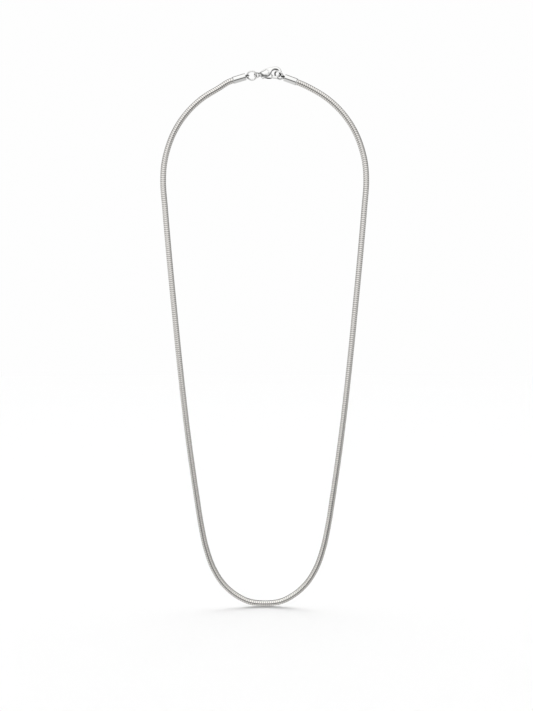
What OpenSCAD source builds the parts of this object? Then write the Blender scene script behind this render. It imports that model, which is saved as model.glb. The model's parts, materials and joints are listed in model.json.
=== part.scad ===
// Snake chain necklace: a closed loop of round chain with end caps, two jump rings and a lobster
// clasp. The loop stands upright as it hangs: +X to the right, +Y to the back, +Z up. The origin is
// at the inner side of the loop's top, under the clasp.

/* [Loop] */
// Width of the loop between the chain's centre lines
loop_w = 97.8; // [90:0.1:110]
// Drop of the loop from the origin to the chain's lowest centre line
loop_drop = 252.7; // [230:0.1:280]
// Diameter of the chain
chain_d = 2.8; // [2.4:0.1:3.2]
// Clearance between the chain and a cap's bore, all round and at the end
chain_clear = 0.06; // [0.05:0.01:0.15]

/* [End caps] */
// Length of a cap's barrel
cap_l = 6.5; // [5:0.1:8]
// Wall round the chain
cap_wall = 0.25; // [0.2:0.05:0.5]
// Thickness of the closed end
cap_end_t = 1.2; // [0.9:0.1:2]
// Chamfer round both ends
cap_chamfer = 0.12; // [0.05:0.01:0.2]
// Wire of the eye on the closed end
eye_wire_d = 0.6; // [0.5:0.05:0.7]
// Play of a ring's wire in the eye
eye_play = 0.15; // [0.1:0.01:0.25]
// Opening left between the eye's hole and the closed end
eye_stand = 0.2; // [0.15:0.05:0.4]
// Rise of the left cap towards its ring
left_cap_tilt = 17; // [5:1:30]
// Fall of the right cap from its ring
right_cap_tilt = 20; // [5:1:30]

/* [Jump rings] */
// Outer diameter of a jump ring
ring_d = 5.2; // [4.8:0.1:5.8]
// Wire of a jump ring
ring_wire_d = 0.8; // [0.7:0.05:0.9]
// How far the left ring leans its top to the front
left_ring_roll = 27; // [24:1:34]
// How far the right ring leans its top to the front
right_ring_roll = 36; // [32:1:40]
// How far the right ring turns its outer side to the front
right_ring_yaw = 38; // [34:1:42]
// Play of the left ring in the eyelet, past its tightest place
eyelet_play = 0.18; // [0.1:0.01:0.25]

/* [Clasp] */
// Place of the eyelet's centre along X
clasp_x = -3.7; // [-4.2:0.1:-3.2]
// Height of the eyelet's centre above the origin
clasp_z = 2.25; // [1.8:0.05:3]
// How far the clasp leans its top to the back
clasp_roll = 22; // [18:1:30]
// Hole of the eyelet
eyelet_hole_d = 1.9; // [1.8:0.05:2.2]
// Wire of the eyelet
eyelet_wire_d = 0.6; // [0.5:0.05:0.7]
// Distance from the eyelet to the middle of the hook's hole
hook_x = 8.8; // [8:0.1:10]
// Height of the middle of the hook's hole above the eyelet
hook_z = 1.15; // [0.8:0.05:1.5]
// Hole of the hook
hook_hole_d = 3.6; // [3.2:0.1:4]
// Width of the hook's bow
bow_w = 1.3; // [1.1:0.05:1.6]
// Thickness of the hook and the cheeks
hook_t = 1.8; // [1.6:0.05:2.2]
// Thickness of the raised shoulder of the body
body_t = 2.6; // [2.3:0.05:3]
// Height of the body's neck beside the eyelet
neck_h = 2.3; // [2:0.05:2.6]

/* [Lever] */
// Thickness of the lever
lever_t = 0.9; // [0.8:0.05:1.1]
// Height of the gate at its end
gate_h = 1.2; // [1:0.05:1.4]
// Radius of the lever round its pin
boss_r = 0.8; // [0.7:0.05:0.95]
// Diameter of the pin
pin_d = 0.7; // [0.6:0.05:0.8]
// Running clearance of the lever on its pin
pin_clear = 0.03; // [0.02:0.01:0.06]
// Clearance of the pin in the body
pin_fit = 0.01; // [0.01:0.01:0.03]
// Clearance of the lever in its slot and at the hook's tip
lever_clear = 0.08; // [0.06:0.01:0.12]
// How far the lever opens
lever_open = 18; // [10:1:20]
// Radius of the thumb tab
tab_r = 0.5; // [0.4:0.05:0.6]
// Distance of the thumb tab from the pin, towards the eyelet
tab_x = 1.6; // [1.3:0.05:1.8]
// Distance of the thumb tab below the pin
tab_drop = 1; // [0.8:0.05:1.2]

/* [Hidden] */

// Where the rings hang: the left one's fall from the eyelet, the height above the middle of the
// hook's hole at which the right one passes through it, and the angles round the rings' wires of
// that place and of the caps' eyes
left_ring_fall = 6;
left_eye_turn = 186;
right_link_up = 0.25;
right_link_turn = 131;
right_eye_turn = -30;

// Gap left where a ring's wire bears on an eye or the eyelet
link_gap = 0.07;

// The clasp's form: how far its neck stands off the eyelet, the angles round the hook's hole at
// which the gate's gap begins and ends, the slant of the cheeks' ends, and the rim and the edge
// left flat beside the raised shoulder
neck_gap = 0.2;
throat_angle = 220;
throat_slant = 0.4;
tip_angle = -50;
rim_w = 0.5;
shoulder_inset = 0.2;

// The chain's tube: its sides, the distance between its rings and the straight stretch outside a cap
chain_sides = 8;
ring_every = 7.6;
lead_out = 1;

steel = [0.78, 0.78, 0.76];
polished = [0.86, 0.86, 0.87];
$fn = 48;
arc_steps = 16;

// Half the chain's route, from near a cap to the lowest point, as shares of half the loop's width
// and of its drop. The other half mirrors it.
chain_route = [
    [0.460, 0.017], [0.601, 0.0335], [0.721, 0.0535], [0.820, 0.0765], [0.900, 0.103],
    [0.957, 0.132], [0.991, 0.162], [1.000, 0.192], [0.981, 0.245], [0.950, 0.317],
    [0.893, 0.435], [0.832, 0.554], [0.762, 0.673], [0.677, 0.791], [0.627, 0.852],
    [0.580, 0.894], [0.508, 0.933], [0.409, 0.963], [0.302, 0.982], [0.150, 0.997]];

// Sizes that follow from the ones above
ring_r = (ring_d - ring_wire_d) / 2;
eyelet_r = (eyelet_hole_d + eyelet_wire_d) / 2;
eye_hole_d = ring_wire_d + 2 * eye_play;
eye_r = (eye_hole_d + eye_wire_d) / 2;
eye_slack = eye_play - link_gap;
closed_end = eye_hole_d / 2 + eye_stand;
cap_bore_d = chain_d + 2 * chain_clear;
cap_d = cap_bore_d + 2 * cap_wall;

// Points and circles of the clasp, in its own frame: the eyelet's centre is the origin, X runs to
// the hook and Y, here the second number, is up
hook = [hook_x, hook_z];
hole_r = hook_hole_d / 2;
head_r = hole_r + bow_w;
head = hook + [0, 0.2 * bow_w];
neck_r = neck_h / 2;
neck = [eyelet_r + eyelet_wire_d / 2 + neck_gap, 0.1 * neck_h];
shoulder = [0.5 * hook_x, 0.85 * hook_z];
shoulder_r = 0.66 * head_r;
belly = [0.62 * hook_x, -0.2 * hook_z];
belly_r = 0.5 * head_r;
pin_at = [0.5 * hook_x, -0.4 * hook_z];
tip = hook + hole_r * [cos(tip_angle), sin(tip_angle)];
gate_reach = norm(tip - pin_at) - lever_clear;
gate_end = [tip.x - gate_h / 2, hook_z - hole_r - gate_h / 2];
tab = pin_at - [tab_x, tab_drop];
throat = hook + hole_r * [cos(throat_angle), sin(throat_angle)];

// Points along an arc from one angle to another
function arc(c, r, from, to) =
    [for (i = [0 : arc_steps]) c + r * [cos(from + (to - from) * i / arc_steps),
                                        sin(from + (to - from) * i / arc_steps)]];

// The direction of a bar, and the half angle between the tangents at its first circle
function bar_along(a, b) = atan2(b.y - a.y, b.x - a.x);
function bar_off(a, ra, b, rb) = acos((ra - rb) / norm(b - a));

// Two circles and the straight tangents that join them
module bar(a, ra, b, rb) {
    up = bar_along(a, b) + bar_off(a, ra, b, rb);
    down = bar_along(a, b) - bar_off(a, ra, b, rb);
    translate(a) circle(ra);
    translate(b) circle(rb);
    polygon([a + ra * [cos(up), sin(up)], b + rb * [cos(up), sin(up)], b,
             b + rb * [cos(down), sin(down)], a + ra * [cos(down), sin(down)], a]);
}

// The same outline as one polygon
module rounded_bar(a, ra, b, rb) {
    up = bar_along(a, b) + bar_off(a, ra, b, rb);
    down = bar_along(a, b) - bar_off(a, ra, b, rb);
    polygon(concat(arc(b, rb, down, up), arc(a, ra, up, down + 360)));
}

module torus(r, wire_d) {
    rotate_extrude() translate([r, 0]) circle(d = wire_d);
}

// A flat outline of the clasp, given in X and Z, made t thick across Y
module plate(t) {
    rotate([90, 0, 0]) translate([0, 0, -t / 2]) linear_extrude(t) children();
}

module place_clasp() {
    translate([clasp_x, 0, clasp_z]) rotate([-clasp_roll, 0, 0]) children();
}

module body_outline() {
    bar(neck, neck_r, shoulder, shoulder_r);
    bar(shoulder, shoulder_r, head, head_r);
    bar(neck, neck_r, belly, belly_r);
    bar(belly, belly_r, head, head_r);
}

module shoulder_outline() {
    difference() {
        bar(neck, neck_r - shoulder_inset, shoulder, shoulder_r - shoulder_inset);
        translate(hook) circle(hole_r + rim_w);
    }
}

module lever_outline(grow = 0) {
    rounded_bar(pin_at, boss_r + grow, gate_end, gate_h / 2 + grow);
    rounded_bar(pin_at, 0.75 * boss_r + grow, tab, tab_r + grow);
}

module turned(a) {
    translate(pin_at) rotate(a) translate(-pin_at) children();
}

module clasp_body() color(polished) place_clasp() difference() {
    union() {
        plate(hook_t) body_outline();
        plate(body_t) shoulder_outline();
        rotate([90, 0, 0]) torus(eyelet_r, eyelet_wire_d);
    }
    plate(2 * body_t) translate(hook) circle(hole_r);
    plate(2 * body_t) throat_cut();
    plate(lever_t + 2 * lever_clear) slot_outline();
    plate(2 * body_t) translate(pin_at) circle(d = pin_d + 2 * pin_fit);
}

// The gap that the gate closes, ended at the hook's tip by the gate's own sweep
module throat_cut() {
    intersection() {
        translate(pin_at) circle(gate_reach + lever_clear);
        polygon([hook, throat, [throat.x - throat_slant, -head_r], hook + [head_r, -2 * head_r],
                 hook + [head_r, -hole_r / 2]]);
    }
}

// Room for the lever from closed to fully open, and the open underside
module slot_outline() {
    for (a = [0, lever_open / 2, lever_open]) turned(a) lever_outline(lever_clear);
    translate([tab.x - tab_r - lever_clear, -head_r])
        square([hook_x - tab.x, head_r + pin_at.y]);
}

module clasp_lever() color(steel) place_clasp() difference() {
    plate(lever_t) intersection() {
        lever_outline();
        translate(pin_at) circle(gate_reach);
    }
    plate(2 * lever_t) translate(hook) circle(hole_r);
    plate(2 * lever_t) translate(pin_at) circle(d = pin_d + 2 * pin_clear);
}

module clasp_pin() color(steel) place_clasp() {
    plate(hook_t) translate(pin_at) circle(d = pin_d);
}

// A point of the clasp's middle plane in the part's frame
function in_clasp(p) = [clasp_x + p.x, p.y * sin(clasp_roll), clasp_z + p.y * cos(clasp_roll)];

// A ring's own axes, and the direction from its middle to its wire and along its wire at an angle
function ring_out(yaw) = [cos(yaw), -sin(yaw), 0];
function ring_up(roll, yaw) = [-sin(yaw) * sin(roll), -cos(yaw) * sin(roll), cos(roll)];
function ring_spoke(roll, yaw, turn) = cos(turn) * ring_out(yaw) + sin(turn) * ring_up(roll, yaw);
function ring_wire(roll, yaw, turn) = cos(turn) * ring_up(roll, yaw) - sin(turn) * ring_out(yaw);

// Rings, and the caps' eyes on them. A cap's axis runs from its eye to its mouth.
left_ring_at = [clasp_x, 0, clasp_z]
    - (ring_r + (eyelet_hole_d - ring_wire_d) / 2 - link_gap - eyelet_play)
    * [cos(left_ring_fall), 0, sin(left_ring_fall)];
left_cap_axis = [-cos(left_cap_tilt), 0, -sin(left_cap_tilt)];
left_eye_at = left_ring_at + ring_r * ring_spoke(left_ring_roll, 0, left_eye_turn)
    + eye_slack * left_cap_axis;
left_eye_wire = ring_wire(left_ring_roll, 0, left_eye_turn);
right_ring_at = in_clasp(hook + [0, right_link_up])
    - ring_r * ring_spoke(right_ring_roll, right_ring_yaw, right_link_turn);
right_cap_axis = [cos(right_cap_tilt), 0, -sin(right_cap_tilt)];
right_eye_at = right_ring_at + ring_r * ring_spoke(right_ring_roll, right_ring_yaw, right_eye_turn)
    + eye_slack * right_cap_axis;
right_eye_wire = ring_wire(right_ring_roll, right_ring_yaw, right_eye_turn);

// A cup whose eye is at the origin and whose mouth looks along +X
module end_cap() {
    translate([closed_end, 0, 0]) rotate([0, 90, 0]) rotate_extrude() difference() {
        polygon([[0, 0], [cap_d / 2 - cap_chamfer, 0], [cap_d / 2, cap_chamfer],
                 [cap_d / 2, cap_l - cap_chamfer], [cap_d / 2 - cap_chamfer, cap_l], [0, cap_l]]);
        translate([0, cap_end_t]) square([cap_bore_d / 2, cap_l]);
    }
    torus(eye_r, eye_wire_d);
}

// Turns a cap from +X to its own axis, with the eye's hole along the ring's wire
module place_cap(eye_at, axis, wire) {
    pitch = asin(-axis.z);
    turn = atan2(axis.y, axis.x);
    level = [-sin(turn), cos(turn), 0];
    above = cross(axis, level);
    translate(eye_at) rotate([0, pitch, turn]) rotate([atan2(-wire * level, wire * above), 0, 0])
        children();
}

module place_ring(at, roll, yaw) {
    translate(at) rotate([90 + roll, 0, -yaw]) children();
}

module left_end_cap() color(polished) place_cap(left_eye_at, left_cap_axis, left_eye_wire) end_cap();

module right_end_cap() color(polished)
    place_cap(right_eye_at, right_cap_axis, right_eye_wire) end_cap();

module left_jump_ring() color(polished)
    place_ring(left_ring_at, left_ring_roll, 0) torus(ring_r, ring_wire_d);

module right_jump_ring() color(polished)
    place_ring(right_ring_at, right_ring_roll, right_ring_yaw) torus(ring_r, ring_wire_d);

// The chain's middle line: out of the left cap, round the loop and into the right cap
function route_point(share, side) = [side * share.x * loop_w / 2, 0, -share.y * loop_drop];
function bore_end(eye_at, axis) = eye_at + (closed_end + cap_end_t + chain_clear) * axis;
function mouth(eye_at, axis, past) = eye_at + (closed_end + cap_l + past) * axis;
last = len(chain_route) - 1;
chain_points = concat(
    [bore_end(left_eye_at, left_cap_axis), mouth(left_eye_at, left_cap_axis, 0),
     mouth(left_eye_at, left_cap_axis, lead_out)],
    [for (i = [0 : last]) route_point(chain_route[i], -1)],
    [[0, 0, -loop_drop]],
    [for (i = [0 : last]) route_point(chain_route[last - i], 1)],
    [mouth(right_eye_at, right_cap_axis, lead_out), mouth(right_eye_at, right_cap_axis, 0),
     bore_end(right_eye_at, right_cap_axis)]);

// Smooth curve through the points: slopes from the neighbours, each weighted by the other's distance
function slope(p, i) =
    i == 0 ? (p[1] - p[0]) / norm(p[1] - p[0])
    : i == len(p) - 1 ? (p[i] - p[i - 1]) / norm(p[i] - p[i - 1])
    : let (before = norm(p[i] - p[i - 1]), after = norm(p[i + 1] - p[i]))
      (after * (p[i] - p[i - 1]) / before + before * (p[i + 1] - p[i]) / after) / (before + after);
function blend(p, i, t) =
    let (h = norm(p[i + 1] - p[i]))
    (2 * t ^ 3 - 3 * t ^ 2 + 1) * p[i] + (t ^ 3 - 2 * t ^ 2 + t) * h * slope(p, i)
    + (3 * t ^ 2 - 2 * t ^ 3) * p[i + 1] + (t ^ 3 - t ^ 2) * h * slope(p, i + 1);
function smooth_line(p) = concat(
    [for (i = [0 : len(p) - 2])
        let (steps = max(1, round(norm(p[i + 1] - p[i]) / ring_every)))
        for (k = [0 : steps - 1]) blend(p, i, k / steps)],
    [p[len(p) - 1]]);

// A closed tube along a line near the XZ plane
module tube(line, r, sides) {
    n = len(line);
    rings = [for (i = [0 : n - 1])
        let (along = line[min(i + 1, n - 1)] - line[max(i - 1, 0)],
             across = cross(along, [0, 1, 0]) / norm(cross(along, [0, 1, 0])),
             back = cross(across, along) / norm(along))
        for (k = [0 : sides - 1])
            line[i] + r * (cos(360 * k / sides) * across + sin(360 * k / sides) * back)];
    walls = [for (i = [0 : n - 2], k = [0 : sides - 1])
        [i * sides + k, i * sides + (k + 1) % sides,
         (i + 1) * sides + (k + 1) % sides, (i + 1) * sides + k]];
    start = [for (k = [0 : sides - 1]) sides - 1 - k];
    end = [for (k = [0 : sides - 1]) (n - 1) * sides + k];
    polyhedron(rings, concat(walls, [start, end]));
}

module snake_chain() color(steel) tube(smooth_line(chain_points), chain_d / 2, chain_sides);

snake_chain();
left_end_cap();
right_end_cap();
left_jump_ring();
right_jump_ring();
clasp_body();
clasp_lever();
clasp_pin();
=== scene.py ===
"""Snake chain necklace: the finished look of every piece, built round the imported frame."""

import json
import math

import bmesh
import bpy
import numpy as np
from mathutils import Matrix, Vector
from mathutils.bvhtree import BVHTree
from mathutils.kdtree import KDTree


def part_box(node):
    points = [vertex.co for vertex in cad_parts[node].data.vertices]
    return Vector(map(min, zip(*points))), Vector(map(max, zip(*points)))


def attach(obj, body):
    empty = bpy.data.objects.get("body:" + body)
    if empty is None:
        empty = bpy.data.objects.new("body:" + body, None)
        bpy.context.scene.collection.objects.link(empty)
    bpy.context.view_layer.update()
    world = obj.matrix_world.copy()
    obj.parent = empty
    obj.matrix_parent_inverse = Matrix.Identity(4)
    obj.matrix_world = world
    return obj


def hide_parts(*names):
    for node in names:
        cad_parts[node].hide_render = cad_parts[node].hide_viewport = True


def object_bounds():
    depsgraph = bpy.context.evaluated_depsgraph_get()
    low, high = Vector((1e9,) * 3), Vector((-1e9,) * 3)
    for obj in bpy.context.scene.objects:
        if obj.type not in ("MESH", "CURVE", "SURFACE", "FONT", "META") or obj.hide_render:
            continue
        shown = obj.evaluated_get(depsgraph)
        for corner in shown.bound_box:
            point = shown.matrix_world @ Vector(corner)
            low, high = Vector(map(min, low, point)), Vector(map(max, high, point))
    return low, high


bl_info = {
    "name": "Snake Chain Necklace",
    "version": (1, 0, 0),
    "blender": (4, 5, 0),
    "location": "View3D > Sidebar > Necklace",
    "description": "Dresses a necklace: plated snake chain, end caps, jump rings, lobster clasp",
    "category": "Add Mesh",
}

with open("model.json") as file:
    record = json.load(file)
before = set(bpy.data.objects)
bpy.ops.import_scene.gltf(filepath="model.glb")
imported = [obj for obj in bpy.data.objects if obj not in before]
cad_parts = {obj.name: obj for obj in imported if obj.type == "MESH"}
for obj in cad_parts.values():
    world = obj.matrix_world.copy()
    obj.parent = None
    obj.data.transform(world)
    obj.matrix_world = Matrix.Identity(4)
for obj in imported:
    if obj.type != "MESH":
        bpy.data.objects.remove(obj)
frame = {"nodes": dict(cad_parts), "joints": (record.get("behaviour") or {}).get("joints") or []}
CAD_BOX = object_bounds()
NODES = frame["nodes"]
MM = 0.001

HARDWARE = ("left_end_cap_turned", "right_end_cap_turned", "left_jump_ring_wire",
            "right_jump_ring_wire", "clasp_casting", "clasp_gate", "clasp_rivet")

# Half the chain's route, from near a cap to the lowest point, as shares of half the loop's width
# and of its drop. The other half mirrors it.
CHAIN_ROUTE = [
    (0.460, 0.017), (0.601, 0.0335), (0.721, 0.0535), (0.820, 0.0765), (0.900, 0.103),
    (0.957, 0.132), (0.991, 0.162), (1.000, 0.192), (0.981, 0.245), (0.950, 0.317),
    (0.893, 0.435), (0.832, 0.554), (0.762, 0.673), (0.677, 0.791), (0.627, 0.852),
    (0.580, 0.894), (0.508, 0.933), (0.409, 0.963), (0.302, 0.982), (0.150, 0.997)]
LINE_STEPS = 24  # steps of the smooth line from one point of the route to the next
CHAIN_IN_CAP = 5 * MM  # how far inside a cap the chain starts
CHAIN_STRAIGHT = 1 * MM  # how far it runs straight on from the cap's mouth
WAVE_POINTS = 4  # points round a plate in each of its waves
FACING = 0.99  # cosine above which a face counts as facing along an axis
OUTER = 0.97  # share of a wall's full radius or depth above which a point lies on its outside
WHITE = (1, 1, 1, 1)

# The clasp from the front, in its own frame: its eyelet is the origin, X runs to the hook, Y is up.
# Its upper side swells inside a row of circles, from the neck's to the shoulder's, and ends at the
# crease, below which it is bevelled. A circle is its middle's X and Y and its radius.
CREASE_X = np.array((0.6, 1.7, 3.0, 4.3, 5.3, 6.0, 6.5, 6.9)) * MM
CREASE_Y = np.array((1.1, 0.4, -0.6, -1.0, -0.9, -0.3, 0.6, 1.2)) * MM
CREASE_END = 7 * MM
NECK = np.array((1.75, 0.23, 1.15)) * MM
SHOULDER = np.array((4.40, 0.98, 2.05)) * MM
HOOK_HOLE = np.array((8.80, 1.15, 2.45)) * MM
BODY_ROUNDING, BOW_ROUNDING, HOLE_ROUNDING = 0.6 * MM, 0.65 * MM, 0.3 * MM

# Pairs of places between which one form of the clasp passes into the next.
SWELLING = (0.1 * MM, 1.3 * MM)  # in from the circles' outline, from flat to swollen
BEVEL_START = (0.6 * MM, 1.2 * MM)  # along X, from no bevel to the whole of it
BEVEL_END = (7.1 * MM, 6.7 * MM)
BOW_START = (6.7 * MM, 7.5 * MM)  # from the slotted body to the solid bow
EYELET_START = (2.3 * MM, 1.7 * MM)  # from the slotted body to the solid eyelet

# Steel gets painted shade and is rougher where much of its outlook is blocked, and along the
# clasp's crease.
BLOCKED = (0.12, 0.5)  # share of the outlook, from polished and unshaded to dull with full painted shade
FOLD = (0.5 * MM, 0.15 * MM)  # off the crease, from polished and unshaded to dull with full painted shade
FOLD_SHADE_AND_DULLNESS = 0.75

# Brightness over the sine of the elevation: of the three skies that the metal mirrors, in front of
# it, over it and behind it, and of the light on the floor.
FRONT_SKY = ((-1, 0.72), (-0.66, 0.70), (-0.55, 0.15), (-0.13, 0.13), (-0.05, 0.85), (0.1, 0.98),
             (0.5, 1.25), (1, 1.25))
REAR_SKY = ((-1, 0.70), (-0.1, 0.66), (0, 0.66), (0.25, 0.58), (0.5, 0.62), (0.75, 1.15),
            (1, 1.2))
BEHIND_SKY = ((-1, 0.70), (-0.1, 0.66), (0, 0.64), (0.15, 0.42), (0.94, 0.34), (1, 1.1))
FLOOR_LIGHT = ((0, 0), (0.2, 0), (0.26, 1), (0.42, 1), (0.7, 0.2), (0.8, 0), (1, 0))
REAR_BEGINS = (-0.92, -0.5)  # along Y, from the front sky to the rear one
BEHIND_BEGINS = (-0.05, 0.25)  # along Y, from the rear sky to the one behind
SKY_BRIGHTNESS, SKY_FALL_TO_RIGHT = 1.07, 0.19
FLOOR_LIGHT_BRIGHTNESS, FLOOR_LIGHT_FOCUS = 12.6, 3

SENSOR = 36  # longer side of the camera's sensor, in the millimetres that Blender gives it in


def length(label, text, millimetres):
    return bpy.props.FloatProperty(name=label, description=text, default=millimetres * MM, min=0,
                                   precision=5, subtype="DISTANCE", unit="LENGTH")


def share(label, text, default):
    return bpy.props.FloatProperty(name=label, description=text, default=default, min=0, max=1,
                                   subtype="FACTOR")


def count(label, text, default):
    return bpy.props.IntProperty(name=label, description=text, default=default, min=1)


def colour(label, text, rgb):
    return bpy.props.FloatVectorProperty(name=label, description=text, default=rgb, min=0, max=1,
                                         size=3, subtype="COLOR")


class ChainSettings(bpy.types.PropertyGroup):
    """Sizes and colours of the chain."""
    diameter: length("Diameter", "Outer diameter of the chain", 2.8)
    pitch: length("Pitch", "Distance from one plate to the next", 1.0)
    gap: length("Gap", "Gap between neighbouring plates", 0.01)
    wave: length("Wave", "How far a plate's wave swings to either side", 0.16)
    groove: length("Groove", "Depth of the groove between two plates", 0.08)
    crest: share("Crest", "Share of a plate's width that keeps the full diameter", 0.8)
    waves: count("Waves", "Waves round one plate", 4)
    twist: bpy.props.FloatProperty(
        name="Twist", description="Turn of the plates about the line at either end of the chain",
        default=math.radians(20), subtype="ANGLE")
    steel: colour("Steel", "Colour of the plates", (0.86, 0.84, 0.81))
    groove_shade: colour("Groove shade", "Colour in the grooves", (0.3, 0.29, 0.275))


class HardwareSettings(bpy.types.PropertyGroup):
    """Sizes and colours of the end caps, the jump rings and the clasp."""
    cap_d: length("Cap diameter", "Outer diameter of an end cap", 3.4)
    cap_bore: length("Cap bore", "Diameter of an end cap's bore", 2.92)
    cap_length: length("Cap length", "Length of an end cap without its eye", 6.5)
    cap_rim: length("Cap rim", "Rounding of an end cap's rims", 0.16)
    eye_stand: length("Eye distance", "Distance of an eye's middle from the cap's closed end", 0.75)
    eye_r: length("Eye radius", "Radius of an eye's middle line", 0.85)
    eye_wire: length("Eye wire", "Thickness of an eye", 0.6)
    ring_r: length("Ring radius", "Radius of a jump ring's middle line", 2.2)
    ring_wire: length("Ring wire", "Thickness of a jump ring's wire", 0.8)
    ring_seam: length("Ring seam", "Gap between the two ends of a jump ring's wire", 0.03)
    seam_turn: bpy.props.FloatProperty(
        name="Seam place", description="Angle from the right at which a jump ring's ends meet",
        default=math.radians(62), subtype="ANGLE")
    hinge_x: length("Hinge distance", "Distance of the lever's pin from the eyelet", 4.4)
    hinge_down: length("Hinge drop", "Drop of the lever's pin below the eyelet", 0.46)
    cheek: length("Cheek", "Half the thickness of the hook and the cheeks", 0.9)
    swell: length("Swell", "How far the middle of the clasp's body swells past the cheeks", 0.4)
    slot_half: length("Slot", "Half the width of the lever's slot", 0.53)
    rivet: length("Rivet", "Radius of the clasp's rivet", 0.35)
    polish: colour("Polish", "Colour of the polished steel", (0.82, 0.82, 0.81))
    # Painted light: the jump rings' steel is lighter than the same steel of the caps and the clasp,
    # for the light their thin wire catches.
    ring_polish_and_light: colour("Ring polish", "Colour of the jump rings", (0.97, 0.97, 0.96))
    # Painted shade: the colour that the hollow attribute mixes into the steel in recesses and along
    # the clasp's crease.
    hollow_shade: colour("Hollow shade", "Colour where no polishing wheel reaches",
                         (0.05, 0.05, 0.05))
    lever_polish: colour("Lever polish", "Colour of the lever and the rivet", (0.76, 0.76, 0.75))


class StageSettings(bpy.types.PropertyGroup):
    """Floor, light and camera."""
    lens: length("Lens", "Focal length of the camera", 85)
    frame_h: length("Frame height", "Height of the picture at the necklace", 343.3)
    look_x: length("Picture middle", "How far right of the origin the picture is centred", 0.87)
    look_down: length("Picture depth", "How far below the origin the picture is centred", 132.6)
    elevation: bpy.props.FloatProperty(
        name="Elevation", description="Height of the camera's line of sight over the horizon",
        default=math.radians(1.5), subtype="ANGLE")
    floor_gap: length("Floor gap", "Gap between the lowest plate and the floor", 0.02)
    floor_size: length("Floor size", "Side of the square floor", 16000)
    paper: colour("Paper", "Colour of the floor", (0.9, 0.9, 0.9))
    fade_start: length("Fade start", "How far out the floor keeps its own colour", 500)
    fade_end: length("Fade end", "How far out the floor has turned into the backdrop", 3000)
    backdrop: share("Backdrop", "Brightness of the ground behind everything", 0.99)


class Value:
    """A shader socket that can be used in expressions."""

    def __init__(self, graph, socket):
        self.graph, self.socket = graph, socket

    def math(self, operation, *others):
        inputs = dict(enumerate((self, *others)))
        return self.graph.node("ShaderNodeMath", {"operation": operation}, inputs)

    def __add__(self, other):
        return self.math("ADD", other)

    def __sub__(self, other):
        return self.math("SUBTRACT", other)

    def __rsub__(self, other):
        return (self * -1) + other

    def __mul__(self, other):
        return self.math("MULTIPLY", other)

    def __truediv__(self, other):
        return self.math("DIVIDE", other)

    def __rtruediv__(self, other):
        return self ** -1 * other

    def __pow__(self, other):
        return self.math("POWER", other)

    __radd__ = __add__
    __rmul__ = __mul__

    def between(self, low, high):
        """Even rise from 0 at low to 1 at high."""
        return ((self - low) / (high - low)).math("MAXIMUM", 0).math("MINIMUM", 1)

    def ramp(self, stops):
        """Level on the straight lines between stops, each a pair of a place and a level."""
        return self.graph.node("ShaderNodeValToRGB", {"stops": stops}, {"Fac": self})


class Graph:
    """The node tree of a material or a world."""

    def __init__(self, owner):
        owner.use_nodes = True
        self.tree = owner.node_tree
        self.tree.nodes.clear()

    def node(self, kind, settings=None, inputs=None, output=0):
        """Adds a node, sets it, feeds its sockets and gives one of its outputs."""
        made = self.tree.nodes.new(kind)
        for name, value in (settings or {}).items():
            if name == "stops":
                self.set_stops(made.color_ramp, value)
            else:
                setattr(made, name, value)
        for name, value in (inputs or {}).items():
            if isinstance(value, Value):
                self.tree.links.new(value.socket, made.inputs[name])
            else:
                made.inputs[name].default_value = value
        return Value(self, made.outputs[output]) if made.outputs else made

    @staticmethod
    def set_stops(ramp, stops):
        while len(ramp.elements) < len(stops):
            ramp.elements.new(1)
        for element, (place, level) in zip(ramp.elements, stops):
            element.position = place
            element.color = (level, level, level, 1)

    def mix(self, factor, low, high):
        """Mixes two colours, which are sockets 6 and 7 of the Mix node."""
        return self.node("ShaderNodeMix", {"data_type": "RGBA"}, {0: factor, 6: low, 7: high}, 2)

    def split(self, vector):
        """The three parts of a vector."""
        parts = self.node("ShaderNodeSeparateXYZ", {}, {0: vector}).socket.node.outputs
        return [Value(self, part) for part in parts]


def rgba(rgb, shade=1):
    return (*(shade * part for part in rgb), 1)


def steel_material(name, tone, hollow):
    """Polished steel with faint wheel marks and a tone that drifts a little. The attribute "hollow"
    says where painted shade darkens it and where it is rougher."""
    drift_shade, mark_stretch, mark_depth = 0.94, (1, 1, 14), 0.02 * MM
    polished_roughness, roughness_drift, dullness = 0.04, 0.04, 0.25
    material = bpy.data.materials.new(name)
    graph = Graph(material)
    place = graph.node("ShaderNodeTexCoord", output="Object")
    drift = graph.node("ShaderNodeTexNoise", {}, {"Vector": place, "Scale": 900, "Detail": 3})
    stretched = graph.node("ShaderNodeMapping", {}, {"Vector": place, "Scale": mark_stretch})
    marks = graph.node("ShaderNodeTexNoise", {}, {"Vector": stretched, "Scale": 1500, "Detail": 2})
    polished = graph.mix(drift, rgba(tone, drift_shade), rgba(tone))
    inside = graph.node("ShaderNodeAttribute", {"attribute_name": "hollow"}, output="Fac")
    relief = graph.node("ShaderNodeBump", {}, {
        "Strength": 0.08, "Distance": mark_depth, "Height": marks})
    shader = graph.node("ShaderNodeBsdfPrincipled", {}, {
        # Painted shade: the hollow colour darkens the steel where the hollow attribute is high.
        "Base Color": graph.mix(inside, polished, rgba(hollow)),
        "Metallic": 1.0,
        "Roughness": ((drift + marks) * roughness_drift + inside * dullness
                      + polished_roughness),
        "Normal": relief,
    })
    graph.node("ShaderNodeOutputMaterial", {}, {"Surface": shader})
    return material


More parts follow.
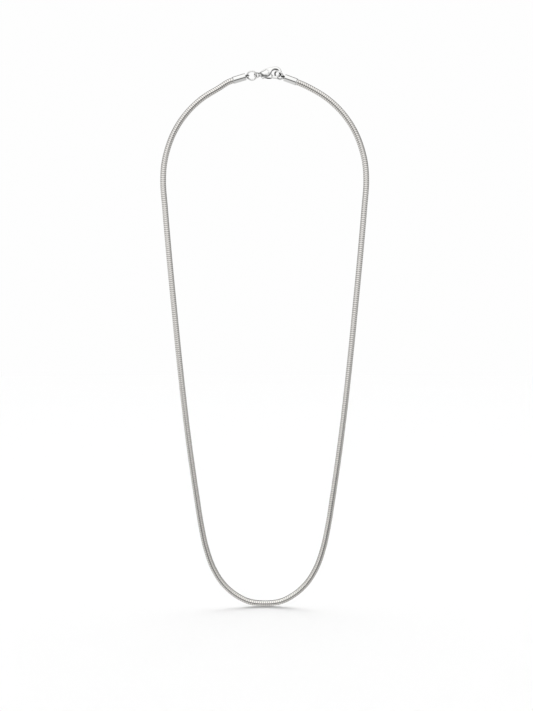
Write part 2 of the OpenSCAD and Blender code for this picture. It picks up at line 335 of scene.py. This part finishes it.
def chain_material(settings):
    """Polished plates with shade in the grooves between them."""
    drift_shade, edge_blur = 0.85, 0.06
    plate_roughness, groove_roughness = 0.14, 0.39
    material = bpy.data.materials.new("chain_steel")
    graph = Graph(material)
    across, _, _ = graph.split(graph.node("ShaderNodeUVMap", {"uv_map": "plate"}))
    off_middle = (across - 0.5).math("ABSOLUTE") * 2
    edge = off_middle.ramp([(settings.crest - edge_blur, 0), (settings.crest + edge_blur, 1)])
    place = graph.node("ShaderNodeTexCoord", output="Object")
    drift = graph.node("ShaderNodeTexNoise", {}, {"Vector": place, "Scale": 700, "Detail": 2})
    plate = graph.mix(drift, rgba(settings.steel, drift_shade), rgba(settings.steel))
    shader = graph.node("ShaderNodeBsdfPrincipled", {}, {
        "Base Color": graph.mix(edge, plate, rgba(settings.groove_shade)),
        "Metallic": 1.0,
        "Roughness": edge * (groove_roughness - plate_roughness) + plate_roughness,
    })
    graph.node("ShaderNodeOutputMaterial", {}, {"Surface": shader})
    return material


def surface_spread(node, counts=lambda place: True):
    """Middle of a frame piece's surface, or of the part that counts, and its main directions from
    least to most spread."""
    mesh = NODES[node].data
    mesh.calc_loop_triangles()
    points = np.array([v.co for v in mesh.vertices])
    middles = points[np.array([t.vertices for t in mesh.loop_triangles])].mean(axis=1)
    areas = np.array([t.area * counts(Vector(m)) for t, m in zip(mesh.loop_triangles, middles)])
    centre = areas @ middles / areas.sum()
    _, directions = np.linalg.eigh(((middles - centre).T * areas) @ (middles - centre))
    return Vector(centre), [Vector(directions[:, i]) for i in range(3)]


def cap_lie(node, side):
    """Axis of an end cap, from its eye to its mouth, and the middle of its mouth."""
    middle, directions = surface_spread(node)
    axis = directions[2] if directions[2].x * side > 0 else -directions[2]
    reach = max((v.co - middle).dot(axis) for v in NODES[node].data.vertices)
    return axis, middle + reach * axis


def route(radius):
    """Points of the chain's middle line, from inside the left cap to inside the right one."""
    low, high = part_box("snake_chain")
    half_width = (high.x - low.x) / 2 - radius
    drop = low.z + radius
    ends = {}
    for side, node in ((-1, "left_end_cap"), (1, "right_end_cap")):
        axis, mouth = cap_lie(node, side)
        ends[side] = [mouth - CHAIN_IN_CAP * axis, mouth, mouth + CHAIN_STRAIGHT * axis]
    left = [Vector((-across * half_width, 0, down * drop)) for across, down in CHAIN_ROUTE]
    right = [Vector((-p.x, 0, p.z)) for p in reversed(left)]
    return ends[-1] + left + [Vector((0, 0, drop))] + right + ends[1][::-1]


def slopes(points):
    """Direction of a smooth curve at its points, each side weighted by the other's length."""
    steps = [b - a for a, b in zip(points, points[1:])]
    inner = [(b.length / a.length * a + a.length / b.length * b) / (a.length + b.length)
             for a, b in zip(steps, steps[1:])]
    return [steps[0].normalized(), *inner, steps[-1].normalized()]


def guide_curve(name, points, twist):
    """A smooth curve through points, for pieces that follow it."""
    data = bpy.data.curves.new(name, "CURVE")
    data.dimensions = "3D"
    data.twist_mode = "MINIMUM"
    data.resolution_u = LINE_STEPS
    spline = data.splines.new("BEZIER")
    spline.bezier_points.add(len(points) - 1)
    chords = [(b - a).length for a, b in zip(points, points[1:])]
    rows = zip(spline.bezier_points, points, slopes(points), [0, *chords], [*chords, 0])
    for knot, point, slope, before, after in rows:
        knot.tilt = twist * point.x / points[-1].x
        knot.handle_left_type = knot.handle_right_type = "FREE"
        knot.co = point
        knot.handle_left = point - slope * before / 3
        knot.handle_right = point + slope * after / 3
    curve = bpy.data.objects.new(name, data)
    bpy.context.scene.collection.objects.link(curve)
    return curve, spline.calc_length()


def activate(piece):
    bpy.ops.object.select_all(action="DESELECT")
    piece.select_set(True)
    bpy.context.view_layer.objects.active = piece


def add_modifier(piece, kind, **settings):
    """Adds a modifier and applies it."""
    activate(piece)
    modifier = piece.modifiers.new(kind.lower(), kind)
    for name, value in settings.items():
        setattr(modifier, name, value)
    bpy.ops.object.modifier_apply(modifier=modifier.name)


def choose(test):
    """In edit mode, selects the vertices whose place passes the test."""
    bpy.ops.mesh.select_all(action="DESELECT")
    mesh = bmesh.from_edit_mesh(bpy.context.edit_object.data)
    for vertex in mesh.verts:
        vertex.select_set(test(vertex.co))
    mesh.select_flush_mode()
    bmesh.update_edit_mesh(bpy.context.edit_object.data)


def wavy_plate(settings):
    """One plate of the chain, lying along X: a wavy ring with a bulging outer side."""
    radius = settings.diameter / 2
    half = (settings.pitch - settings.gap) / 2
    crest = half * settings.crest
    sides = WAVE_POINTS * settings.waves

    def swing(co):
        """Which way the wave moves a point along the chain: 1, 0 or -1."""
        point = round(math.atan2(co.y, co.z) / math.tau * sides) % WAVE_POINTS
        return abs(point - WAVE_POINTS // 2) - 1

    bpy.ops.object.select_all(action="DESELECT")
    bpy.ops.mesh.primitive_cylinder_add(
        vertices=sides, radius=radius, depth=2 * crest, end_fill_type="NOTHING",
        rotation=(0, math.pi / 2, 0))
    plate = bpy.context.object
    plate.name = "snake_chain_plates"
    bpy.ops.object.transform_apply(location=False, rotation=True, scale=False)
    bpy.ops.object.mode_set(mode="EDIT")
    bpy.ops.mesh.select_mode(type="VERT")
    for side in (-1, 1):
        choose(lambda co: co.x * side > crest / 2)
        bpy.ops.mesh.extrude_region_move(
            TRANSFORM_OT_translate={"value": (side * (half - crest), 0, 0)})
        shrink = 1 - settings.groove / radius
        bpy.ops.transform.resize(value=(1, shrink, shrink), center_override=(0, 0, 0))
    choose(lambda co: abs(co.x) > (crest + half) / 2)
    bpy.ops.mesh.bridge_edge_loops()
    bpy.ops.mesh.select_all(action="SELECT")
    bpy.ops.mesh.normals_make_consistent(inside=False)
    for way in (1, -1):
        choose(lambda co: swing(co) == way)
        bpy.ops.transform.translate(value=(way * settings.wave, 0, 0))
    bpy.ops.object.mode_set(mode="OBJECT")
    layer = plate.data.uv_layers.new(name="plate")
    for loop in plate.data.loops:
        co = plate.data.vertices[loop.vertex_index].co
        turn = math.atan2(co.y, co.z) / math.tau
        layer.data[loop.index].uv = (
            0.5 + (co.x - settings.wave * swing(co)) / (2 * half), turn + 0.5)
    return plate


class NECKLACE_OT_chain(bpy.types.Operator):
    """Snake chain: one wavy plate, repeated along the middle line from cap to cap"""
    bl_idname = "necklace.chain"
    bl_label = "Snake Chain"

    def execute(self, context):
        settings = context.scene.necklace_chain
        middle_line = route(settings.diameter / 2)
        guide, line_length = guide_curve("chain_guide", middle_line, settings.twist)
        chain = wavy_plate(settings)
        chain.location.x = settings.pitch / 2
        bpy.ops.object.transform_apply(location=True, rotation=False, scale=False)
        add_modifier(chain, "ARRAY", use_relative_offset=False, use_constant_offset=True,
                     constant_offset_displace=(settings.pitch, 0, 0),
                     count=int(line_length / settings.pitch))
        add_modifier(chain, "CURVE", object=guide, deform_axis="POS_X")
        bpy.data.objects.remove(guide)
        activate(chain)
        bpy.ops.object.shade_smooth_by_angle(angle=math.radians(30))
        chain.data.materials.append(chain_material(settings))
        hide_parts("snake_chain")
        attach(chain, "necklace")
        return {"FINISHED"}


def lie(across, normal, place):
    """Matrix of a frame at a place, whose Z is the normal and whose X leans to across."""
    across = (across - across.dot(normal) * normal).normalized()
    matrix = Matrix((across, normal.cross(across), normal)).transposed().to_4x4()
    matrix.translation = place
    return matrix


def clasp_lie(settings):
    """The clasp's own frame: its eyelet is the origin, X runs to the hook and Z to the camera."""
    hinge = frame["joints"][0]
    axis = Vector(hinge["axis"]).normalized()
    matrix = lie(Vector((1, 0, 0)), axis, (0, 0, 0))
    matrix.translation = Vector(hinge["pos_m"]) - matrix @ Vector(
        (settings.hinge_x, -settings.hinge_down, 0))
    return matrix


def choose_faces(test):
    """In edit mode, selects the faces that pass the test."""
    bpy.ops.mesh.select_mode(type="FACE")
    bpy.ops.mesh.select_all(action="DESELECT")
    mesh = bmesh.from_edit_mesh(bpy.context.edit_object.data)
    mesh.normal_update()
    for face in mesh.faces:
        face.select_set(test(face))
    mesh.select_flush_mode()
    bmesh.update_edit_mesh(bpy.context.edit_object.data)


def finish_piece(piece, node, body, material, angle=35):
    """Smooths a finished piece, gives it its material and puts it in the place of its node."""
    activate(piece)
    bpy.ops.object.shade_smooth_by_angle(angle=math.radians(angle))
    piece.data.materials.clear()
    piece.data.materials.append(material)
    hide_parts(node)
    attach(piece, body)


def wire_ring(name, radius, wire, seam=0, turn=0, steps=64, sides=16):
    """A round ring of wire in the XY plane, with the seam where its two ends meet."""
    bpy.ops.object.select_all(action="DESELECT")
    bpy.ops.mesh.primitive_circle_add(vertices=sides, radius=wire / 2,
                                      location=(radius, 0, 0), rotation=(math.pi / 2, 0, 0))
    ring = bpy.context.object
    ring.name = name
    bpy.ops.object.transform_apply(location=True, rotation=True, scale=False)
    bpy.ops.object.mode_set(mode="EDIT")
    bpy.ops.mesh.select_all(action="SELECT")
    bpy.ops.mesh.spin(steps=steps, angle=math.tau - seam / radius, center=(0, 0, 0), axis=(0, 0, 1))
    bpy.ops.mesh.select_all(action="SELECT")
    if seam:
        bpy.ops.mesh.fill_holes(sides=0)
        choose_faces(lambda face: len(face.verts) == sides)
        bpy.ops.mesh.bevel(offset=seam, segments=2, affect="EDGES")
        bpy.ops.mesh.select_all(action="SELECT")
    else:
        bpy.ops.mesh.remove_doubles(threshold=wire / 100)
    bpy.ops.mesh.normals_make_consistent(inside=False)
    bpy.ops.object.mode_set(mode="OBJECT")
    ring.data.transform(Matrix.Rotation(turn, 4, "Z"))
    return ring


def join(pieces):
    """Joins pieces into the first one."""
    activate(pieces[0])
    for piece in pieces:
        piece.select_set(True)
    bpy.ops.object.join()
    return pieces[0]


def cut_groove(low, high, shrink):
    """In edit mode, turns a shallow groove between two heights into a wall round the Z axis."""
    for height in (low, (low + high) / 2, high):
        bpy.ops.mesh.select_mode(type="VERT")
        bpy.ops.mesh.select_all(action="SELECT")
        bpy.ops.mesh.bisect(plane_co=(0, 0, height), plane_no=(0, 0, 1))
    wall = max(math.hypot(v.co.x, v.co.y)
               for v in bmesh.from_edit_mesh(bpy.context.edit_object.data).verts)
    choose(lambda co: abs(co.z - (low + high) / 2) < (high - low) / 4
           and math.hypot(co.x, co.y) > OUTER * wall)
    bpy.ops.transform.resize(value=(shrink, shrink, 1), center_override=(0, 0, 0))


def end_cap(node, side, settings):
    """A turned cup over the chain's end, with an eye on its closed end."""
    axis, mouth = cap_lie(node, side)
    radius, tall = settings.cap_d / 2, settings.cap_length
    bore_depth, groove_depth = 0.8 * tall, 0.14 * MM
    groove_low, groove_high = -3.6 * settings.cap_rim, -1.3 * settings.cap_rim
    bpy.ops.object.select_all(action="DESELECT")
    bpy.ops.mesh.primitive_cylinder_add(vertices=48, radius=radius, depth=tall,
                                        location=(0, 0, -tall / 2))
    cup = bpy.context.object
    cup.name = node + "_turned"
    bpy.ops.object.transform_apply(location=True, rotation=False, scale=False)
    bpy.ops.object.mode_set(mode="EDIT")
    choose_faces(lambda face: abs(face.normal.z) > FACING)
    bpy.ops.mesh.bevel(offset=settings.cap_rim, segments=4, affect="EDGES")
    choose_faces(lambda face: face.normal.z > FACING)
    bpy.ops.mesh.inset(thickness=radius - settings.cap_rim - settings.cap_bore / 2)
    bpy.ops.mesh.extrude_region_move(TRANSFORM_OT_translate={"value": (0, 0, -bore_depth)})
    choose_faces(lambda face: face.normal.z < -FACING)
    for _ in range(3):  # The closed end bulges in three steps.
        bpy.ops.mesh.inset(thickness=radius / 5, depth=radius / 30)
    cut_groove(groove_low, groove_high, 1 - groove_depth / radius)
    bpy.ops.object.mode_set(mode="OBJECT")
    place = lie(Vector((0, -1, 0)), axis, mouth)
    cup.data.transform(place)
    # Past this place only the frame's own eye is left, and it says how the eye is turned.
    closed_end = tall + settings.eye_stand / 5
    _, directions = surface_spread(node, lambda point: (mouth - point).dot(axis) > closed_end)
    eye = wire_ring("eye", settings.eye_r, settings.eye_wire, steps=40, sides=12)
    eye.data.transform(lie(axis, directions[0],
                           mouth - (tall + settings.eye_stand) * axis))
    return join([cup, eye])


def jump_ring(node, settings):
    """A ring of round wire, cut once and closed again."""
    _, directions = surface_spread(node)
    normal = directions[0] if directions[0].y < 0 else -directions[0]
    low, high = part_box(node)
    ring = wire_ring(node + "_wire", settings.ring_r, settings.ring_wire,
                     seam=settings.ring_seam, turn=settings.seam_turn)
    ring.data.transform(lie(Vector((1, 0, 0)), normal, (low + high) / 2))
    return ring


class NECKLACE_OT_end_caps(bpy.types.Operator):
    """Two turned end caps with an eye each"""
    bl_idname = "necklace.end_caps"
    bl_label = "End Caps"

    def execute(self, context):
        settings = context.scene.necklace_hardware
        for node, side in (("left_end_cap", -1), ("right_end_cap", 1)):
            finish_piece(end_cap(node, side, settings), node, "necklace",
                         steel_material(node + "_steel", settings.polish, settings.hollow_shade))
        return {"FINISHED"}


class NECKLACE_OT_jump_rings(bpy.types.Operator):
    """Two jump rings of cut and closed round wire"""
    bl_idname = "necklace.jump_rings"
    bl_label = "Jump Rings"

    def execute(self, context):
        settings = context.scene.necklace_hardware
        for node in ("left_jump_ring", "right_jump_ring"):
            # Painted light: the rings get a lighter copy of the steel.
            finish_piece(jump_ring(node, settings), node, "necklace",
                         steel_material(node + "_steel", settings.ring_polish_and_light,
                                        settings.hollow_shade))
        return {"FINISHED"}


def casting(node, name, place, voxel):
    """A copy of a frame piece in the clasp's frame, remeshed fine enough to be shaped."""
    piece = bpy.data.objects.new(name, NODES[node].data.copy())
    bpy.context.scene.collection.objects.link(piece)
    activate(piece)
    bpy.ops.object.mode_set(mode="EDIT")
    bpy.ops.mesh.select_all(action="SELECT")
    bpy.ops.mesh.remove_doubles(threshold=0.001 * MM)
    bpy.ops.object.mode_set(mode="OBJECT")
    piece.data.transform(place.inverted())
    add_modifier(piece, "REMESH", mode="VOXEL", voxel_size=voxel)
    return piece


def points_of(piece):
    """Places of a piece's vertices, one row for each."""
    points = np.empty(3 * len(piece.data.vertices))
    piece.data.vertices.foreach_get("co", points)
    return points.reshape(-1, 3)


def distances(points, others):
    """Distance from each flat point to the nearest of some others."""
    tree = KDTree(len(others))
    for i, other in enumerate(others):
        tree.insert((*other, 0), i)
    tree.balance()
    return np.array([tree.find((*point, 0))[2] for point in points])


def rise(values, low, high):
    """Smooth step from 0 at low to 1 at high."""
    part = np.clip((values - low) / (high - low), 0, 1)
    return part * part * (3 - 2 * part)


def crease_at(x):
    """The crease's Y at places along X, and its length there for each step along X."""
    slope = np.interp(x, CREASE_X, np.gradient(CREASE_Y, CREASE_X))
    return np.interp(x, CREASE_X, CREASE_Y), np.hypot(1, slope)


def face_height(x, y, settings):
    """Height of the clasp's face, swollen above the crease and bevelled below it."""
    bevel_slope, deep_slope, deep = 0.62, 0.7, 0.8 * MM
    crease, lean = crease_at(x)
    above = np.where(x < CREASE_END, np.maximum(y, crease), y)
    from_neck = np.clip((x - NECK[0]) / (SHOULDER[0] - NECK[0]), 0, 1)
    middle_x, middle_y, radius = [a + from_neck * (b - a) for a, b in zip(NECK, SHOULDER)]
    inside = radius - np.hypot(x - middle_x, above - middle_y)
    below = np.clip(crease - y, 0, None) / lean
    below *= rise(x, *BEVEL_START) * rise(x, *BEVEL_END)
    bevel = bevel_slope * below + deep_slope * np.clip(below - deep, 0, None)
    return settings.cheek + settings.swell * rise(inside, *SWELLING) - bevel


def edge_distance(points, settings):
    """Distance of each point of the casting from its outline, found by the side walls."""
    wall_from, wall_to = 0.66 * settings.cheek, 0.94 * settings.cheek
    rivet_hole = 1.8 * settings.rivet
    x, y, depth = points[:, 0], points[:, 1], np.abs(points[:, 2])
    off_rivet = np.hypot(x - settings.hinge_x, y + settings.hinge_down)
    walls = (depth > wall_from) & (depth < wall_to) & (off_rivet > rivet_hole)
    return distances(points[:, :2], points[walls][:, :2])


def dome_clasp(body, settings):
    """Turns the flat casting into a puffed one, round in the bow and in the eyelet."""
    slot_play, least_wall, edge_wall, least_bow = 0.03 * MM, 0.1 * MM, 0.06 * MM, 0.3 * MM
    cheek, slot = settings.cheek, settings.slot_half + slot_play
    points = points_of(body)
    x, y, depth = points[:, 0], points[:, 1], np.abs(points[:, 2])
    slim = np.maximum(rise(x, *BOW_START), rise(x, *EYELET_START))
    height = np.maximum(face_height(x, y, settings),
                        (slot + least_wall) * (1 - slim) + least_bow * slim)

    hole_x, hole_y, hole_r = HOOK_HOLE
    rounding = np.where(np.hypot(x - hole_x, y - hole_y) < hole_r, HOLE_ROUNDING,
                        BODY_ROUNDING + (BOW_ROUNDING - BODY_ROUNDING) * slim)
    to_edge = np.clip(edge_distance(points, settings) / rounding, 0, 1)
    least = (slot + edge_wall) * (1 - slim)
    height = least + (height - least) * np.sqrt(1 - (1 - to_edge) ** 2)

    skin = depth > OUTER * cheek
    wall = slot + (depth - slot) * (height - slot) / (cheek - slot)
    body_depth = np.where(skin, height, np.where(depth > slot, wall, depth))
    bow_depth = np.where(skin, height, depth * height / cheek)
    points[:, 2] = np.sign(points[:, 2]) * (body_depth * (1 - slim) + bow_depth * slim)
    body.data.vertices.foreach_set("co", points.ravel())
    body.data.update()


class NECKLACE_OT_clasp(bpy.types.Operator):
    """Lobster clasp: cast body with a rounded bow, its lever and its rivet"""
    bl_idname = "necklace.clasp"
    bl_label = "Lobster Clasp"

    def execute(self, context):
        settings = context.scene.necklace_hardware
        place = clasp_lie(settings)
        self.add_body(settings, place)
        self.add_lever(settings, place)
        self.add_rivet(settings, place)
        return {"FINISHED"}

    def add_body(self, settings, place):
        body = casting("clasp_body", "clasp_casting", place, voxel=0.08 * MM)
        dome_clasp(body, settings)
        add_modifier(body, "REMESH", mode="VOXEL", voxel_size=0.07 * MM)
        add_modifier(body, "SMOOTH", factor=0.5, iterations=6)
        body.data.transform(place)
        steel = steel_material("clasp_steel", settings.polish, settings.hollow_shade)
        finish_piece(body, "clasp_body", "necklace", steel, angle=180)

    def add_lever(self, settings, place):
        lever = casting("clasp_lever", "clasp_gate", place, voxel=0.06 * MM)
        add_modifier(lever, "SMOOTH", factor=0.5, iterations=10)
        lever.data.transform(place)
        steel = steel_material("lever_steel", settings.lever_polish, settings.hollow_shade)
        finish_piece(lever, "clasp_lever", "lever", steel, angle=180)

    def add_rivet(self, settings, place):
        head_height = settings.cheek + 0.9 * settings.swell
        bpy.ops.object.select_all(action="DESELECT")
        bpy.ops.mesh.primitive_cylinder_add(
            vertices=24, radius=settings.rivet, depth=2 * head_height,
            location=(settings.hinge_x, -settings.hinge_down, 0))
        rivet = bpy.context.object
        rivet.name = "clasp_rivet"
        bpy.ops.object.transform_apply(location=True, rotation=False, scale=False)
        bpy.ops.object.mode_set(mode="EDIT")
        choose_faces(lambda face: abs(face.normal.z) > FACING)
        bpy.ops.mesh.bevel(offset=settings.rivet / 3, segments=3, affect="EDGES")
        bpy.ops.object.mode_set(mode="OBJECT")
        rivet.data.transform(place)
        steel = steel_material("rivet_steel", settings.lever_polish, settings.hollow_shade)
        finish_piece(rivet, "clasp_pin", "necklace", steel)


class NECKLACE_OT_recesses(bpy.types.Operator):
    """Paints shade into the steel and makes it rougher where the hardware's pieces block its
    outlook
    """
    bl_idname = "necklace.recesses"
    bl_label = "Recesses"

    def execute(self, context):
        pieces = [bpy.data.objects[name] for name in HARDWARE]
        corners, faces = [], []
        for piece in pieces:
            piece.data.calc_loop_triangles()
            faces += [[len(corners) + i for i in t.vertices] for t in piece.data.loop_triangles]
            corners += [v.co for v in piece.data.vertices]
        tree = BVHTree.FromPolygons(corners, faces)
        for piece in pieces:
            blocked = [self.blocked(tree, vertex) for vertex in piece.data.vertices]
            # Painted shade: the share of blocked directions sets how dark the steel's colour gets.
            hollow = rise(np.array(blocked), *BLOCKED)
            if piece.name == "clasp_casting":
                # Painted shade: the crease of the clasp's body gets a dark band as well.
                hollow = np.maximum(hollow, self.fold(context, piece))
            layer = piece.data.attributes.new("hollow", "FLOAT", "POINT")
            layer.data.foreach_set("value", hollow.astype(np.float32))
        return {"FINISHED"}

    @staticmethod
    def fold(context, body):
        """Band of painted shade, where the steel is also rougher, along the crease of the clasp's
        body.
        """
        place = np.array(clasp_lie(context.scene.necklace_hardware))
        x, y, _ = ((points_of(body) - place[:3, 3]) @ place[:3, :3]).T
        crease, lean = crease_at(x)
        along = (x > CREASE_X[0]) & (x < CREASE_X[-1])
        return FOLD_SHADE_AND_DULLNESS * along * rise(np.abs(y - crease) / lean, *FOLD)

    @staticmethod
    def blocked(tree, vertex, rays=24, reach=3 * MM, lift=0.02 * MM):
        """Share of the directions off a surface in which something lies within reach."""
        start = vertex.co + lift * vertex.normal
        turn = Vector((0, 0, 1)).rotation_difference(vertex.normal)
        hits = 0
        # The rays spread evenly over the half sphere, a golden angle from one to the next.
        for ray in range(rays):
            up = 1 - (ray + 0.5) / rays
            around = ray * math.pi * (3 - math.sqrt(5))
            out = math.sqrt(1 - up * up)
            direction = turn @ Vector((out * math.cos(around), out * math.sin(around), up))
            hits += tree.ray_cast(start, direction, reach)[0] is not None
        return hits / rays


class NECKLACE_OT_stage(bpy.types.Operator):
    """Pale floor, soft studio light and the camera"""
    bl_idname = "necklace.stage"
    bl_label = "Stage"

    def execute(self, context):
        settings = context.scene.necklace_stage
        self.add_floor(settings)
        self.add_world(context.scene, settings)
        self.add_camera(context.scene, settings)
        context.scene.view_settings.view_transform = "Standard"
        # The plates are two pixels apart in the picture, and the denoiser's prefilter would blur
        # them away.
        context.scene.cycles.denoising_prefilter = "NONE"
        return {"FINISHED"}

    def add_floor(self, settings):
        """A sheet of pale paper that the metal doesn't mirror."""
        bpy.ops.object.select_all(action="DESELECT")
        bpy.ops.mesh.primitive_plane_add(
            size=settings.floor_size, location=(0, 0, CAD_BOX[0].z - settings.floor_gap))
        floor = bpy.context.object
        floor.name = "floor"
        bpy.ops.object.transform_apply(location=True, rotation=False, scale=False)
        floor.visible_glossy = False
        material = bpy.data.materials.new("floor_paper")
        graph = Graph(material)
        paper = graph.node("ShaderNodeBsdfDiffuse", {}, {"Color": rgba(settings.paper)})
        # Far off the floor turns into the backdrop, so that no edge of it shows.
        place = graph.node("ShaderNodeTexCoord", output="Object")
        along, across, _ = graph.split(place)
        out = (along * along + across * across) ** 0.5
        backdrop = graph.node("ShaderNodeEmission", {}, {
            "Color": WHITE, "Strength": settings.backdrop})
        surface = graph.node("ShaderNodeMixShader", {}, {
            0: out.between(settings.fade_start, settings.fade_end), 1: paper, 2: backdrop})
        graph.node("ShaderNodeOutputMaterial", {}, {"Surface": surface})
        floor.data.materials.append(material)

    def add_world(self, scene, settings):
        """Three skies: one that the metal mirrors, one that lights the floor, one behind it all."""
        scene.world = bpy.data.worlds.new("studio")
        graph = Graph(scene.world)
        right, back, up = graph.split(graph.node("ShaderNodeTexCoord"))
        height = (up + 1) * 0.5
        front, rear, behind, floor_light = [
            height.ramp([((sine + 1) / 2, brightness) for sine, brightness in sky])
            for sky in (FRONT_SKY, REAR_SKY, BEHIND_SKY, FLOOR_LIGHT)]
        mirrored = graph.mix(back.between(*REAR_BEGINS), front, rear)
        mirrored = graph.mix(back.between(*BEHIND_BEGINS), mirrored, behind)
        focus = ((back + 1) * 0.5) ** FLOOR_LIGHT_FOCUS
        mirrored = graph.node("ShaderNodeBackground", {}, {
            "Color": mirrored, "Strength": SKY_BRIGHTNESS - right * SKY_FALL_TO_RIGHT})
        lighting = graph.node("ShaderNodeBackground", {}, {
            "Color": floor_light, "Strength": focus * FLOOR_LIGHT_BRIGHTNESS})
        seen = graph.node("ShaderNodeBackground", {}, {
            "Color": WHITE, "Strength": settings.backdrop})
        surface = mirrored
        for kind, sky in (("Is Diffuse Ray", lighting), ("Is Camera Ray", seen)):
            ray = graph.node("ShaderNodeLightPath", output=kind)
            surface = graph.node("ShaderNodeMixShader", {}, {0: ray, 1: surface, 2: sky})
        graph.node("ShaderNodeOutputWorld", {}, {"Surface": surface})

    def add_camera(self, scene, settings):
        """The camera, at the distance from which the picture is as high as the frame height."""
        target = Vector((settings.look_x, 0, -settings.look_down))
        toward = Vector((0, -math.cos(settings.elevation), math.sin(settings.elevation)))
        distance = settings.frame_h * settings.lens / (SENSOR * MM)
        bpy.ops.object.camera_add(location=target + toward * distance)
        camera = bpy.context.object
        camera.rotation_euler = (-toward).to_track_quat("-Z", "Y").to_euler()
        camera.data.lens = settings.lens / MM
        camera.data.sensor_width = SENSOR
        camera.data.clip_start, camera.data.clip_end = 0.05, 100
        scene.camera = camera


class NECKLACE_PT_panel(bpy.types.Panel):
    """Lists the necklace's pieces."""
    bl_idname = "NECKLACE_PT_panel"
    bl_label = "Snake Chain Necklace"
    bl_space_type = "VIEW_3D"
    bl_region_type = "UI"
    bl_category = "Necklace"

    def draw(self, context):
        for operator in OPERATORS:
            self.layout.operator(operator.bl_idname)
        for settings in (context.scene.necklace_chain, context.scene.necklace_hardware,
                         context.scene.necklace_stage):
            box = self.layout.box()
            for name in settings.__annotations__:
                box.prop(settings, name)


OPERATORS = (NECKLACE_OT_chain, NECKLACE_OT_end_caps, NECKLACE_OT_jump_rings, NECKLACE_OT_clasp,
             NECKLACE_OT_recesses, NECKLACE_OT_stage)
CLASSES = (ChainSettings, HardwareSettings, StageSettings, *OPERATORS, NECKLACE_PT_panel)


def register():
    for made in CLASSES:
        bpy.utils.register_class(made)
    bpy.types.Scene.necklace_chain = bpy.props.PointerProperty(type=ChainSettings)
    bpy.types.Scene.necklace_hardware = bpy.props.PointerProperty(type=HardwareSettings)
    bpy.types.Scene.necklace_stage = bpy.props.PointerProperty(type=StageSettings)


def unregister():
    del bpy.types.Scene.necklace_stage
    del bpy.types.Scene.necklace_hardware
    del bpy.types.Scene.necklace_chain
    for made in reversed(CLASSES):
        bpy.utils.unregister_class(made)


def main():
    register()
    bpy.ops.necklace.chain()
    bpy.ops.necklace.end_caps()
    bpy.ops.necklace.jump_rings()
    bpy.ops.necklace.clasp()
    bpy.ops.necklace.recesses()
    bpy.ops.necklace.stage()


if __name__ == "__main__":
    main()
